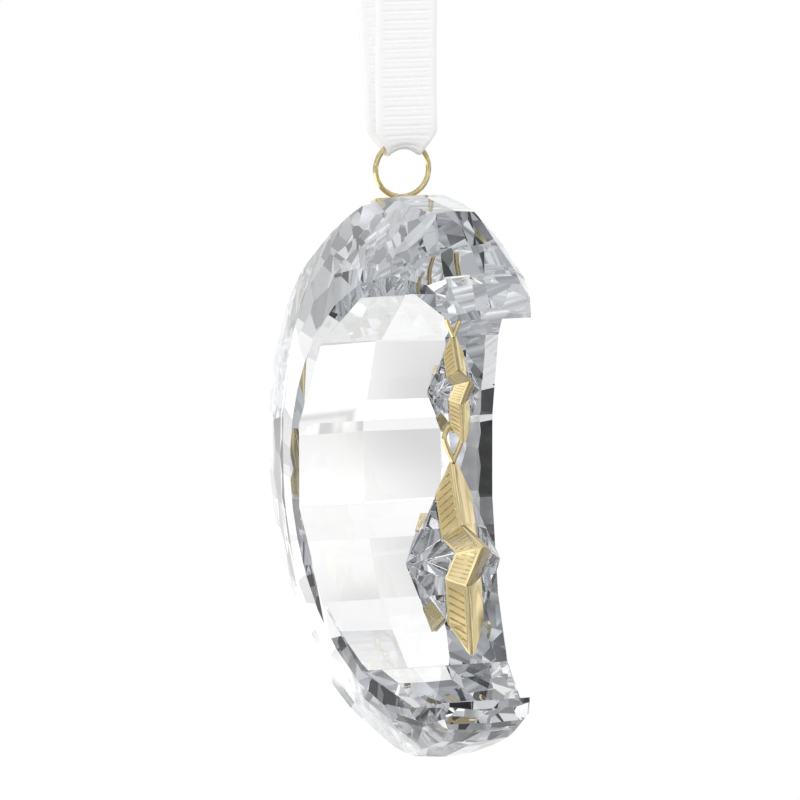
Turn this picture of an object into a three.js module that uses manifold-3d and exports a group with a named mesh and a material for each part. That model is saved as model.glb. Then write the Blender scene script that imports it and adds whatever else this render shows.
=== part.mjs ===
// A cut-crystal crescent moon that hangs from a ribbon, with two star pendants in its hollow.
// Units are millimetres and +Z is up. The origin is the inside of the ribbon loop's top, where a
// hook or a branch holds it, and the moon hangs straight below. The crescent lies in the XZ plane
// and opens towards +X. "Moon coordinates" have their origin at the centre of its outer circle.

import * as THREE from 'three';
import { mergeVertices } from 'three/addons/utils/BufferGeometryUtils.js';
import Module from 'manifold-3d';

const wasm = await Module();
wasm.setup();

// Moon: outer circle, hollow and thickness

const HOLLOW_HALF_WIDTH = 27.6;
const HOLLOW_HALF_HEIGHT = 25.7;
const CROWN_WIDTH = 9.4;              // of the crystal above and below the hollow
const OUTER_RADIUS = HOLLOW_HALF_HEIGHT + CROWN_WIDTH;
const BELLY_WIDTH = 22.5;             // of the crystal beside the hollow
const HOLLOW_CENTRE_X = BELLY_WIDTH - OUTER_RADIUS + HOLLOW_HALF_WIDTH;
const BELLY_HALF_DEPTH = 13;          // half the depth of the hollow's edge at the belly
const TIP_HALF_DEPTH = 5.1;           // and at the horns' tips
const TIP_BEYOND_CENTRE = 10.6;
const TIP_X = HOLLOW_CENTRE_X + TIP_BEYOND_CENTRE;
const RIM_WAIST = 3.1;                // half the depth of the outer rim above and below the centre
const RIM_BELLY = 10;                 // and at the belly
const RIM_BELLY_POWER = 1.05;         // how soon it narrows from the belly
const RIM_GAIN_TO_TIPS = 4.5;
const TABLE_STRIP = 1.7;              // flat strip beside the hollow's edge
const RIM_ROOF_ANGLE = 5;             // degrees that each half of a rim facet leans

// Facet angles are in degrees from +X towards +Z, as seen from the front
const HOLLOW_JOINTS = [12, 40, 66, 94, 118, 150, 180];   // from the belly, to each side
const FACET_STEP = 15;
const FIRST_CROWN_ANGLE = 50;
const CROWN_ROWS = [
  { from: 0, slope: 0.56, shift: 0 },
  { from: 0.28, slope: 0.96, shift: 0.5 },
  { from: 0.57, slope: 1.27, shift: 0 },
];
const FIRST_RIM_FACET = 140;          // the rim's even facets run from here round the belly
const LAST_RIM_FACET = 290;
// Each of these lies inside the outer circle by its inset, or beyond it where that is negative
const SEAT_FACET = { angle: 105, inset: 0.6 };           // the plate lies on it
const TOP_FACETS = [{ angle: 88.7, inset: -0.05 }, { angle: 124, inset: 1.5 }];
const HORN_FACETS = [{ angle: 57.5, inset: -0.7 }, { angle: 34, inset: 0.3 }];
const TIP_BLUNT = 0.35;

// Hanging ring and its plate

const HANG_X = -9.5;                  // in moon coordinates
const PLATE_LENGTH = 7.6;
const PLATE_WIDTH = 3;
const PLATE_THICKNESS = 0.55;
const PLATE_CORNER = 0.5;
const ADHESIVE_GAP = 0.1;
const SOLDER_GAP = 0.05;
const RING_RADIUS = 3.49;             // to the middle of the wire
const RING_WIRE = 0.36;               // radius of the wire
const RING_SINK = 0.15;               // depth of the ring's bottom in the plate

// Ribbon loop

const RIBBON_WIDTH = 8;
const RIBBON_THICKNESS = 0.4;
const RIBBON_GAP = 0.2;               // between the ribbon and the ring's wire
const LOOP_HEIGHT = 52;               // from the fold in the ring to the inside of the top

// Pendants

const PENDANT_X = 11;                 // in moon coordinates
const EYE_RADIUS = 1;
const EYE_WIRE = 0.3;
const EYE_BELOW_HOLLOW = 1.65;
const PIN_RADIUS = 0.4;
const PIN_DEPTH = 2;
const LINK_PLAY = 0.2;                // gap between two wires that hang in each other

const STAR_POINTS = 5;
const STAR_WAIST = 0.5;               // notch radius over point radius
const STAR_SLOPE = 46;                // degrees that the star's facets lean from its plane
const FRAME_SHARE = 0.35;             // how far in the frame reaches, over the facet's reach
const STONE_GAP = 0.1;
// rise is how far a bail stands above the star's top point, to the middle of its wire
const SMALL = { radius: 7.2, ridge: 0.2, wire: 0.3, bail: 0.95, rise: 3.11 };
const BIG = { radius: 12.9, ridge: 0.3, wire: 0.34, bail: 1.6, rise: 4.26 };
const BAIL_SINK = 0.5;                // how far a bail's foot reaches into the star's tip
const LOWER_EYE_RADIUS = 0.75;
const LOWER_EYE_WIRE = 0.28;

const rad = THREE.MathUtils.degToRad;

// Solids from three.js geometry, and back

function solid(geometry) {
  const bare = geometry.clone();
  bare.deleteAttribute('normal');
  bare.deleteAttribute('uv');
  const merged = mergeVertices(bare, 1e-5);
  return new wasm.Manifold(new wasm.Mesh({
    numProp: 3,
    vertProperties: new Float32Array(merged.attributes.position.array),
    triVerts: new Uint32Array(merged.index.array),
  }));
}

function geometryOf(body) {
  const mesh = body.getMesh();
  const geometry = new THREE.BufferGeometry();
  geometry.setAttribute('position', new THREE.BufferAttribute(mesh.vertProperties, 3));
  geometry.setIndex(new THREE.BufferAttribute(mesh.triVerts, 1));
  const flat = geometry.toNonIndexed();
  flat.computeVertexNormals();
  return flat;
}

function namedMesh(name, geometry, material) {
  const mesh = new THREE.Mesh(geometry, material);
  mesh.name = name;
  return mesh;
}

// Materials

const crystal = new THREE.MeshStandardMaterial({
  color: 0xeef2f6, roughness: 0.02, metalness: 0, transparent: true, opacity: 0.45,
});
const gold = new THREE.MeshStandardMaterial({ color: 0xc9ab5e, roughness: 0.22, metalness: 1 });
const ribbonCloth = new THREE.MeshStandardMaterial({ color: 0xf6f6f5, roughness: 0.85 });

// The crescent's rule for depth and height

const hollowEnd = HOLLOW_CENTRE_X - HOLLOW_HALF_WIDTH;
const depthSlope = (BELLY_HALF_DEPTH - TIP_HALF_DEPTH) / (TIP_X - hollowEnd);

function edgeHalfDepth(x) {
  return BELLY_HALF_DEPTH - depthSlope * (x - hollowEnd);
}

function rimHalfDepth(angle) {
  const c = Math.cos(rad(angle));
  if (c > 0) return RIM_WAIST + RIM_GAIN_TO_TIPS * c * c;
  return RIM_WAIST + (RIM_BELLY - RIM_WAIST) * (-c) ** RIM_BELLY_POWER;
}

// Distance from the outer circle's centre to the hollow's wall, along one direction
function hollowReach(angle) {
  const c = Math.cos(rad(angle));
  const s = Math.sin(rad(angle));
  const a = (c / HOLLOW_HALF_WIDTH) ** 2 + (s / HOLLOW_HALF_HEIGHT) ** 2;
  const b = -c * HOLLOW_CENTRE_X / HOLLOW_HALF_WIDTH ** 2;
  const d = (HOLLOW_CENTRE_X / HOLLOW_HALF_WIDTH) ** 2 - 1;
  return (-b + Math.sqrt(b * b - a * d)) / a;
}

function hollowPoint(fromBelly) {
  const t = rad(180 - fromBelly);
  return new THREE.Vector2(
    HOLLOW_CENTRE_X + HOLLOW_HALF_WIDTH * Math.cos(t),
    HOLLOW_HALF_HEIGHT * Math.sin(t),
  );
}

// Cutting: everything beyond a plane is taken off

const CUTTER = 4 * OUTER_RADIUS;
const cutterBox = new THREE.BoxGeometry(CUTTER, CUTTER, CUTTER).translate(0, 0, CUTTER / 2);

function cutBeyond(body, point, normal) {
  const turn = new THREE.Quaternion().setFromUnitVectors(
    new THREE.Vector3(0, 0, 1),
    normal.clone().normalize(),
  );
  const place = new THREE.Matrix4().compose(point, turn, new THREE.Vector3(1, 1, 1));
  return body.subtract(solid(cutterBox.clone().applyMatrix4(place)));
}

function cutBothSides(body, point, normal) {
  const mirrored = (v) => new THREE.Vector3(v.x, -v.y, v.z);
  return cutBeyond(cutBeyond(body, point, normal), mirrored(point), mirrored(normal));
}

// A rim facet stands across the depth, and its two halves meet in a low roof ridge
function cutRimFacet(body, { angle, inset }) {
  const distance = OUTER_RADIUS - inset;
  const c = Math.cos(rad(angle));
  const s = Math.sin(rad(angle));
  const lean = rad(RIM_ROOF_ANGLE);
  const normal = new THREE.Vector3(c * Math.cos(lean), -Math.sin(lean), s * Math.cos(lean));
  return cutBothSides(body, new THREE.Vector3(c * distance, 0, s * distance), normal);
}

// The crown's profile along one direction: where it starts, and how steep it is on average
function crownProfile(angle) {
  const start = hollowReach(angle) + TABLE_STRIP;
  const width = OUTER_RADIUS - start;
  const top = edgeHalfDepth(start * Math.cos(rad(angle)));
  return { start, width, top, slope: (top - rimHalfDepth(angle)) / width };
}

function crownHalfDepth(angle, radius) {
  const { start, width, top, slope } = crownProfile(angle);
  const share = (radius - start) / width;
  let depth = top;
  CROWN_ROWS.forEach((row, i) => {
    const end = CROWN_ROWS[i + 1]?.from ?? share;
    const reach = Math.min(share, end) - row.from;
    if (i === 0 || reach > 0) depth -= row.slope * slope * width * reach;
  });
  return depth;
}

// A crown facet touches the profile at its row's start, and leans as the depth changes along it
function cutCrownFacet(body, angle, row) {
  const c = Math.cos(rad(angle));
  const s = Math.sin(rad(angle));
  const { start, width, slope } = crownProfile(angle);
  const radius = start + row.from * width;
  const rise = row.slope * slope;
  const step = 2;
  const change = crownHalfDepth(angle + step, radius) - crownHalfDepth(angle - step, radius);
  const lean = change / (2 * rad(step) * radius);
  const point = new THREE.Vector3(c * radius, -crownHalfDepth(angle, radius), s * radius);
  return cutBothSides(body, point, new THREE.Vector3(c * rise + s * lean, -1, s * rise - c * lean));
}

function crownAngles(shift) {
  const angles = [];
  for (let a = 180; a >= FIRST_CROWN_ANGLE; a -= FACET_STEP) {
    const angle = a - shift * FACET_STEP;
    if (angle >= FIRST_CROWN_ANGLE) angles.push(angle, -angle);
  }
  return angles.filter((a) => a !== -180);
}

// Even facets meet in corners that lie on the outer circle
const evenFacetInset = OUTER_RADIUS * (1 - Math.cos(rad(FACET_STEP / 2)));

function gemBlock() {
  const size = 2.4 * OUTER_RADIUS;
  let body = solid(new THREE.BoxGeometry(size, size, size));
  const edge = new THREE.Vector3(hollowEnd, -BELLY_HALF_DEPTH, 0);
  body = cutBothSides(body, edge, new THREE.Vector3(depthSlope, -1, 0));
  for (let a = FIRST_RIM_FACET; a <= LAST_RIM_FACET; a += FACET_STEP) {
    body = cutRimFacet(body, { angle: a, inset: evenFacetInset });
  }
  for (const facet of TOP_FACETS) body = cutRimFacet(body, facet);
  for (const facet of HORN_FACETS) {
    body = cutRimFacet(body, facet);
    body = cutRimFacet(body, { angle: -facet.angle, inset: facet.inset });
  }
  for (const row of CROWN_ROWS) {
    for (const angle of crownAngles(row.shift)) body = cutCrownFacet(body, angle, row);
  }
  return body;
}

const seatNormal = new THREE.Vector3(
  Math.cos(rad(SEAT_FACET.angle)), 0, Math.sin(rad(SEAT_FACET.angle)),
);

function seatZ(x) {
  return (OUTER_RADIUS - SEAT_FACET.inset - x * seatNormal.x) / seatNormal.z;
}

// The hollow is a straight prism of flat panels, cut from front to back
function hollowPrism() {
  const joints = HOLLOW_JOINTS;
  const upper = joints.map((t) => hollowPoint(t));
  const lower = joints.filter((t) => t < 180).map((t) => hollowPoint(-t)).reverse();
  const outline = new THREE.Shape([...upper, ...lower]);
  const depth = 4 * BELLY_HALF_DEPTH;
  const prism = new THREE.ExtrudeGeometry(outline, { depth, bevelEnabled: false, curveSegments: 1 });
  return prism.translate(0, 0, -depth / 2).rotateX(Math.PI / 2);
}

// Height of the hollow's upper wall above one place
function ceilingZ(x) {
  const points = HOLLOW_JOINTS.map((t) => hollowPoint(t));
  for (let i = 0; i + 1 < points.length; i += 1) {
    const p = points[i];
    const q = points[i + 1];
    if (x >= p.x && x <= q.x) return p.y + (q.y - p.y) * (x - p.x) / (q.x - p.x);
  }
  throw new Error('The pendants hang outside the hollow.');
}

const ceiling = ceilingZ(PENDANT_X);
const eyeZ = ceiling - EYE_BELOW_HOLLOW;

function pinShaft(radius, top) {
  const bottom = eyeZ + EYE_RADIUS;
  const shaft = new THREE.CylinderGeometry(radius, radius, top - bottom, 16);
  return shaft.rotateX(Math.PI / 2).translate(PENDANT_X, 0, (top + bottom) / 2);
}

function moonCrystal() {
  let body = gemBlock();
  const onSeat = new THREE.Vector3(0, 0, seatZ(0));
  body = cutBeyond(body, onSeat, seatNormal);
  body = body.subtract(solid(hollowPrism()));
  const tip = new THREE.Vector3(TIP_X - TIP_BLUNT, 0, 0);
  body = cutBeyond(body, tip, new THREE.Vector3(1, 0, 0));
  const hole = pinShaft(PIN_RADIUS + ADHESIVE_GAP, ceiling + PIN_DEPTH + ADHESIVE_GAP);
  return body.subtract(solid(hole));
}

// Plate, ring and eye pin

const plateCentre = new THREE.Vector3(HANG_X, 0, seatZ(HANG_X));
const plateTurn = rad(90 - SEAT_FACET.angle);
const plateTopZ = seatZ(HANG_X) + (ADHESIVE_GAP + PLATE_THICKNESS) / seatNormal.z;
const ringZ = plateTopZ + RING_WIRE + RING_RADIUS - RING_SINK;

function ringGeometry(wire) {
  const torus = new THREE.TorusGeometry(RING_RADIUS, wire, 16, 64);
  return torus.rotateY(Math.PI / 2).translate(HANG_X, 0, ringZ);
}

function capPlate() {
  const x = PLATE_WIDTH / 2;
  const y = PLATE_LENGTH / 2;
  const r = PLATE_CORNER;
  const outline = new THREE.Shape();
  outline.moveTo(x, -y + r).lineTo(x, y - r).absarc(x - r, y - r, r, 0, Math.PI / 2);
  outline.lineTo(-x + r, y).absarc(-x + r, y - r, r, Math.PI / 2, Math.PI);
  outline.lineTo(-x, -y + r).absarc(-x + r, -y + r, r, Math.PI, 1.5 * Math.PI);
  outline.lineTo(x - r, -y).absarc(x - r, -y + r, r, 1.5 * Math.PI, 2 * Math.PI);
  const slab = new THREE.ExtrudeGeometry(outline, {
    depth: PLATE_THICKNESS, bevelEnabled: false, curveSegments: 4,
  });
  slab.translate(0, 0, ADHESIVE_GAP).rotateY(plateTurn);
  slab.translate(plateCentre.x, plateCentre.y, plateCentre.z);
  return solid(slab).subtract(solid(ringGeometry(RING_WIRE + SOLDER_GAP)));
}

function eyePin() {
  const eye = new THREE.TorusGeometry(EYE_RADIUS, EYE_WIRE, 10, 28);
  eye.rotateX(Math.PI / 2).translate(PENDANT_X, 0, eyeZ);
  return solid(eye).add(solid(pinShaft(PIN_RADIUS, ceiling + PIN_DEPTH)));
}

// Stars: five points with a pyramid on each face; the rim of both is a metal frame

function starOutline(radius) {
  const points = [];
  for (let i = 0; i < 2 * STAR_POINTS; i += 1) {
    const a = Math.PI / 2 + Math.PI * i / STAR_POINTS;
    const r = i % 2 ? radius * STAR_WAIST : radius;
    points.push(new THREE.Vector2(r * Math.cos(a), r * Math.sin(a)));
  }
  return points;
}

// Distance from the star's centre to each of its straight edges
function edgeDistance(radius) {
  const [tip, notch] = starOutline(radius);
  return Math.abs(tip.x * notch.y - tip.y * notch.x) / tip.distanceTo(notch);
}

function starFacts(star) {
  const reach = edgeDistance(star.radius);
  const inset = FRAME_SHARE * reach;
  const tan = Math.tan(rad(STAR_SLOPE));
  return {
    innerRadius: star.radius * (1 - FRAME_SHARE),
    frameHalfDepth: star.ridge + inset * tan,
    apex: star.ridge + reach * tan,
    stoneRadius: star.radius * (1 - FRAME_SHARE) * (1 - STONE_GAP / (reach - inset)),
  };
}

// Joins rings of equal counts into one skin, each ring to the next
function skinRings(rings, triangles, closeUp) {
  const count = rings[0].length;
  const last = closeUp ? rings.length : rings.length - 1;
  for (let k = 0; k < last; k += 1) {
    const a = rings[k];
    const b = rings[(k + 1) % rings.length];
    for (let i = 0; i < count; i += 1) {
      const j = (i + 1) % count;
      triangles.push([a[i], a[j], b[j]], [a[i], b[j], b[i]]);
    }
  }
}

function geometryFromTriangles(triangles) {
  const values = triangles.flat().flatMap((p) => [p.x, p.y, p.z]);
  const geometry = new THREE.BufferGeometry();
  geometry.setAttribute('position', new THREE.Float32BufferAttribute(values, 3));
  return mergeVertices(geometry, 1e-5);
}

function ringAt(radius, y, centreZ) {
  return starOutline(radius).map((p) => new THREE.Vector3(PENDANT_X + p.x, y, centreZ + p.y));
}

function frameBand(star, z) {
  const facts = starFacts(star);
  const triangles = [];
  skinRings([
    ringAt(facts.innerRadius, -facts.frameHalfDepth, z),
    ringAt(star.radius, -star.ridge, z),
    ringAt(star.radius, star.ridge, z),
    ringAt(facts.innerRadius, facts.frameHalfDepth, z),
  ], triangles, true);
  return geometryFromTriangles(triangles);
}

function stoneGeometry(star, z) {
  const facts = starFacts(star);
  const r = facts.stoneRadius;
  const d = facts.frameHalfDepth;
  const front = ringAt(r, -d, z);
  const back = ringAt(r, d, z);
  const triangles = [];
  skinRings([front, back], triangles, false);
  const apexes = [new THREE.Vector3(PENDANT_X, -facts.apex, z), new THREE.Vector3(PENDANT_X, facts.apex, z)];
  for (let i = 0; i < front.length; i += 1) {
    const j = (i + 1) % front.length;
    triangles.push([front[j], front[i], apexes[0]], [back[i], back[j], apexes[1]]);
  }
  return geometryFromTriangles(triangles);
}

// Heights of the chain, from the eye pin down

function centreZ(star, bailTop) {
  return bailTop - star.rise - star.radius;
}

const smallBailTop = eyeZ - EYE_RADIUS + EYE_WIRE + LINK_PLAY + SMALL.wire;
const smallZ = centreZ(SMALL, smallBailTop);
const lowerEyeZ = smallZ - SMALL.radius * STAR_WAIST - LOWER_EYE_RADIUS + LOWER_EYE_WIRE / 2;
const bigBailTop = lowerEyeZ - LOWER_EYE_RADIUS + LOWER_EYE_WIRE + LINK_PLAY + BIG.wire;
const bigZ = centreZ(BIG, bigBailTop);

// A bail is a drop-shaped wire loop that stands across the star, with its foot in the top point
function bailCurve(star, topZ) {
  const footZ = topZ - star.rise - BAIL_SINK;
  const half = star.bail;
  const height = topZ - footZ;
  const side = (sign) => [
    new THREE.Vector3(PENDANT_X, sign * 0.12 * half, footZ + 0.1 * height),
    new THREE.Vector3(PENDANT_X, sign * 0.62 * half, footZ + 0.36 * height),
    new THREE.Vector3(PENDANT_X, sign * half, footZ + 0.66 * height),
    new THREE.Vector3(PENDANT_X, sign * 0.68 * half, footZ + 0.91 * height),
  ];
  return new THREE.CatmullRomCurve3([
    new THREE.Vector3(PENDANT_X, 0, footZ),
    ...side(1),
    new THREE.Vector3(PENDANT_X, 0, topZ),
    ...side(-1).reverse(),
  ], true);
}

function bailGeometry(star, topZ) {
  const curve = bailCurve(star, topZ);
  const steps = 40;
  const sides = 8;
  const rings = [];
  for (let i = 0; i < steps; i += 1) {
    const centre = curve.getPointAt(i / steps);
    const along = curve.getTangentAt(i / steps);
    const across = new THREE.Vector3(1, 0, 0);
    const out = new THREE.Vector3().crossVectors(along, across).normalize();
    const ring = [];
    for (let k = 0; k < sides; k += 1) {
      const a = 2 * Math.PI * k / sides;
      const offset = across.clone().multiplyScalar(star.wire * Math.cos(a));
      offset.addScaledVector(out, star.wire * Math.sin(a));
      ring.push(centre.clone().add(offset));
    }
    rings.push(ring);
  }
  const triangles = [];
  skinRings(rings, triangles, true);
  return geometryFromTriangles(triangles);
}

// Outward faces whichever way a skin was wound
function facingOut(geometry) {
  const index = geometry.index.array;
  const p = geometry.attributes.position;
  const corner = (i) => new THREE.Vector3().fromBufferAttribute(p, index[i]);
  let volume = 0;
  for (let i = 0; i < index.length; i += 3) volume += corner(i).dot(corner(i + 1).cross(corner(i + 2)));
  if (volume >= 0) return geometry;
  for (let i = 0; i < index.length; i += 3) [index[i], index[i + 1]] = [index[i + 1], index[i]];
  return geometry;
}

function starFrame(star, bailTop) {
  const band = solid(facingOut(frameBand(star, centreZ(star, bailTop))));
  return band.add(solid(facingOut(bailGeometry(star, bailTop))));
}

function smallStarFrame() {
  const eye = new THREE.TorusGeometry(LOWER_EYE_RADIUS, LOWER_EYE_WIRE, 10, 28);
  eye.rotateX(Math.PI / 2).translate(PENDANT_X, 0, lowerEyeZ);
  return starFrame(SMALL, smallBailTop).add(solid(eye));
}

// Ribbon: a flat strip that follows one route; it narrows and arches where it passes the ring

const foldZ = ringZ + RING_RADIUS - RING_WIRE - RIBBON_GAP - RIBBON_THICKNESS / 2;

// Middle of the ribbon's thickness, in the ring's plane coordinates: x, and z above the fold
const RIBBON_ROUTE = [
  [-5.7, 20.5], [-5.95, 23], [-6.3, 29], [-6.1, 36], [-5.3, 43], [-3.95, 48.4], [-2.2, 51.4],
  [0, 52.25],
  [2.0, 51.4], [3.2, 48.4], [3.75, 43], [3.6, 36], [3.0, 29], [2.3, 23], [1.75, 16], [1.6, 9.5],
  [1.75, 5], [1.85, 2.6], [1.65, 0.95], [0.95, 0.12],
  [-0.1, 0], [-1.3, 0.3], [-2.0, 1.25], [-2.4, 2.9], [-2.85, 5], [-3.95, 9.5], [-5.1, 14],
  [-5.85, 17.5], [-6.35, 21], [-6.75, 25], [-7.0, 29],
];
const STEPS_PER_SPAN = 4;
const RIBBON_SIDE_POINTS = 4;
const ARCH_REACH = 2.3;               // height over the fold at which the ribbon is full width
const ARCH_HALF_WIDTH = 2.15;
const ARCH_DROP = 0.95;

function ribbonShape(z) {
  const t = THREE.MathUtils.smoothstep(z, 0, ARCH_REACH);
  return {
    half: THREE.MathUtils.lerp(ARCH_HALF_WIDTH, RIBBON_WIDTH / 2, t),
    drop: ARCH_DROP * (1 - t),
  };
}

function ribbonLoop() {
  const points = RIBBON_ROUTE.map(([x, z]) => new THREE.Vector3(x, 0, z));
  const curve = new THREE.CatmullRomCurve3(points, false, 'centripetal');
  const rings = [];
  const steps = STEPS_PER_SPAN * (points.length - 1);
  for (let i = 0; i <= steps; i += 1) {
    const centre = curve.getPoint(i / steps);
    const along = curve.getTangent(i / steps);
    const out = new THREE.Vector3(along.z, 0, -along.x);
    const { half, drop } = ribbonShape(centre.z);
    const ring = [];
    const strip = (side, k) => {
      const s = 1 - 2 * k / RIBBON_SIDE_POINTS;
      const p = centre.clone().addScaledVector(out, side * RIBBON_THICKNESS / 2);
      p.y = side * s * half;
      p.z -= drop * s * s;
      ring.push(p);
    };
    for (let k = 0; k <= RIBBON_SIDE_POINTS; k += 1) strip(1, k);
    for (let k = 0; k <= RIBBON_SIDE_POINTS; k += 1) strip(-1, k);
    rings.push(ring);
  }
  const triangles = [];
  skinRings(rings, triangles, false);
  const cap = (ring) => {
    const n = ring.length;
    for (let k = 0; k < RIBBON_SIDE_POINTS; k += 1) {
      triangles.push([ring[k], ring[k + 1], ring[n - 2 - k]], [ring[k], ring[n - 2 - k], ring[n - 1 - k]]);
    }
  };
  cap([...rings[0]].reverse());
  cap(rings.at(-1));
  const geometry = geometryFromTriangles(triangles);
  return facingOut(geometry).translate(HANG_X, 0, foldZ);
}

// The ornament, moved so that the loop's inside top is the origin

const ornament = new THREE.Group();
const hung = new THREE.Group();
hung.position.set(-HANG_X, 0, -(foldZ + LOOP_HEIGHT));
hung.add(
  namedMesh('ribbon_loop', ribbonLoop(), ribbonCloth),
  namedMesh('hanging_ring', geometryOf(solid(ringGeometry(RING_WIRE))), gold),
  namedMesh('cap_plate', geometryOf(capPlate()), gold),
  namedMesh('moon_crystal', geometryOf(moonCrystal()), crystal),
  namedMesh('horn_eye_pin', geometryOf(eyePin()), gold),
  namedMesh('small_star_frame', geometryOf(smallStarFrame()), gold),
  namedMesh('small_star_stone', facingOut(stoneGeometry(SMALL, smallZ)), crystal),
  namedMesh('big_star_frame', geometryOf(starFrame(BIG, bigBailTop)), gold),
  namedMesh('big_star_stone', facingOut(stoneGeometry(BIG, bigZ)), crystal),
);
ornament.add(hung);

export default ornament;
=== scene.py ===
"""Looks of the moon ornament: a cut-crystal crescent on a ribbon, with two framed crystal stars.

Everything is in metres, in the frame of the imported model: +Z is up, and the inside of the loop's
top is at the origin.
"""

import math

import bmesh
import bpy
from mathutils import Matrix, Vector


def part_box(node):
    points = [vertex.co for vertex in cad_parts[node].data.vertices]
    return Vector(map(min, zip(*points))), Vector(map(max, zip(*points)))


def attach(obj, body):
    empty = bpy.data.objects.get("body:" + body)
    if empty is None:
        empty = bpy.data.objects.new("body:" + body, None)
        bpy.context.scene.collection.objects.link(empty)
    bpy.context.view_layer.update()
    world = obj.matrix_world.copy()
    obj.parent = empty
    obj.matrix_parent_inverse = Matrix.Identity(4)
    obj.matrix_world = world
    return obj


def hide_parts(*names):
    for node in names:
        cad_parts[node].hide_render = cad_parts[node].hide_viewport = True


bl_info = {
    "name": "Moon Ornament",
    "version": (1, 0, 0),
    "blender": (4, 5, 0),
    "location": "View3D > Sidebar > Ornament",
    "description": "Builds a moon ornament's ribbon, gold and crystal round its CAD frame",
    "category": "Object",
}

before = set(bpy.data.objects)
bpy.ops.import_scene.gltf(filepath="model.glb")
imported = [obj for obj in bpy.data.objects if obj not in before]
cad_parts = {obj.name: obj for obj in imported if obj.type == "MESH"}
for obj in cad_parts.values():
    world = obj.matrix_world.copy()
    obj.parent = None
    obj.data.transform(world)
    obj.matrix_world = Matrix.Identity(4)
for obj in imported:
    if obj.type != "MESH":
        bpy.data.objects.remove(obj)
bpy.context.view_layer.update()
MM = 0.001

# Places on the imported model

MOON_CENTRE = Vector((9.5, 0, -92.274)) * MM
PENDANT_X = 20.5 * MM
FOLD_Z = -52 * MM
RING_TOP_Z = -51.24 * MM               # middle of the wire at the ring's top
RING_RADIUS = 3.49 * MM
RING_WIRE = 0.36 * MM
EYE_BOTTOM_Z = -70.26 * MM             # middle of the wire at the pin eye's bottom
EYE_RADIUS = 1 * MM
EYE_WIRE = 0.3 * MM
PIN_RADIUS = 0.4 * MM
LOWER_EYE_BOTTOM_Z = -84.73 * MM       # and at the bottom of the small star's eye
LOWER_EYE_RADIUS = 0.75 * MM
LOWER_EYE_WIRE = 0.28 * MM
LINK_PLAY = 0.2 * MM
PLATE_SIZE = Vector((3, 7.6, 0.55)) * MM
PLATE_TILT = math.radians(15)


# Settings that a user would change


class RibbonSettings(bpy.types.PropertyGroup):
    width: bpy.props.FloatProperty(
        name="Width",
        description="Width of the ribbon from selvage to selvage",
        default=8 * MM,
        unit="LENGTH",
    )
    thickness: bpy.props.FloatProperty(
        name="Thickness",
        description="Thickness of the ribbon between its ribs",
        default=0.36 * MM,
        unit="LENGTH",
    )
    rib_pitch: bpy.props.FloatProperty(
        name="Rib pitch",
        description="Distance from one cross rib to the next",
        default=1.2 * MM,
        unit="LENGTH",
    )
    colour: bpy.props.FloatVectorProperty(
        name="Colour",
        description="Colour of the ribbon's yarn",
        default=(0.9, 0.9, 0.9),
        size=3,
        min=0,
        max=1,
        subtype="COLOR",
    )


class GoldSettings(bpy.types.PropertyGroup):
    colour: bpy.props.FloatVectorProperty(
        name="Gold",
        description="Colour of the polished plate",
        default=(0.80, 0.66, 0.36),
        size=3,
        min=0,
        max=1,
        subtype="COLOR",
    )
    roughness: bpy.props.FloatProperty(
        name="Roughness",
        description="Roughness of the polished plate",
        default=0.13,
        min=0,
        max=1,
        subtype="FACTOR",
    )


class StarSettings(bpy.types.PropertyGroup):
    groove_pitch: bpy.props.FloatProperty(
        name="Groove pitch",
        description="Distance between the big star's engraved lines; the small star's are finer",
        default=0.92 * MM,
        unit="LENGTH",
    )
    groove_width: bpy.props.FloatProperty(
        name="Groove width",
        description="Width of an engraved line on the big star",
        default=0.24 * MM,
        unit="LENGTH",
    )
    groove_depth: bpy.props.FloatProperty(
        name="Groove depth",
        description="Depth of an engraved line on the big star",
        default=0.17 * MM,
        unit="LENGTH",
    )
    groove_lean: bpy.props.FloatProperty(
        name="Groove lean",
        description="How far the engraved lines lean towards the star's points",
        default=math.radians(28),
        unit="ROTATION",
    )


class CrystalSettings(bpy.types.PropertyGroup):
    ior: bpy.props.FloatProperty(
        name="Refraction",
        description="Index of refraction of the lead-free crystal",
        default=1.58,
        min=1,
        max=2.5,
    )
    edge: bpy.props.FloatProperty(
        name="Edge",
        description="Width of the fine polished edge between two facets",
        default=0.08 * MM,
        unit="LENGTH",
    )


def settings(name):
    return getattr(bpy.context.scene, "ornament_" + name)


# Meshes and pieces

MERGE_REACH = 0.2e-6                   # corners of a CAD node's triangles this close are one
FLAT_ANGLE = math.radians(0.4)         # and triangles this flat to each other are one facet


def add_object(name, bm, material, body, sharp_from=None):
    """Makes a piece of a bmesh, smooth up to an angle between its faces. It rides on a body."""
    mesh = bpy.data.meshes.new(name)
    bm.to_mesh(mesh)
    bm.free()
    if sharp_from is not None:
        mesh.polygons.foreach_set("use_smooth", [True] * len(mesh.polygons))
        mesh.set_sharp_from_angle(angle=math.radians(sharp_from))
    mesh.materials.append(material)
    piece = bpy.data.objects.new(name, mesh)
    bpy.context.scene.collection.objects.link(piece)
    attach(piece, body)
    return piece


def node_copy(node):
    """A merged copy of a CAD node's shape, with its flat parts joined to whole facets."""
    bm = bmesh.new()
    bm.from_mesh(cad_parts[node].data)
    bmesh.ops.remove_doubles(bm, verts=bm.verts, dist=MERGE_REACH)
    bmesh.ops.dissolve_limit(bm, angle_limit=FLAT_ANGLE, verts=bm.verts, edges=bm.edges)
    bmesh.ops.recalc_face_normals(bm, faces=bm.faces)
    return bm


# Smooth lines and swept wires


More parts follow.
